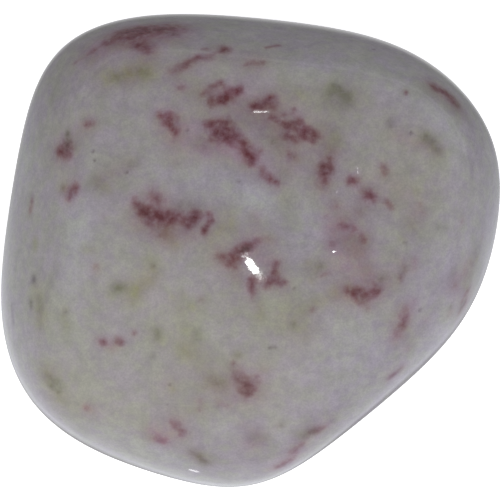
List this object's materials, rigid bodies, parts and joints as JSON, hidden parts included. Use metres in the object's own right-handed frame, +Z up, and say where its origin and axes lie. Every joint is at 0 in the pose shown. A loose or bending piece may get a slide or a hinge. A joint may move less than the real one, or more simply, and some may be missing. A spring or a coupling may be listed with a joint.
{
  "type": "tumbled stone",
  "caption": "Loose tumbled stone of milky quartz with dark red and olive flecks, worn smooth and polished, that rests on a small flat spot.",
  "frame": {"origin": "on the surface the stone rests on, under the middle of its box", "axes": "+Z up out of the flat spot and the stone's shortest way, +X along its longest way, +Y across it"},
  "size_m": [0.0348, 0.033, 0.0197],
  "materials": {
    "milky_quartz": "polished"
  },
  "bodies": {
    "root": {"stone": "milky_quartz"}
  },
  "joints": []
}
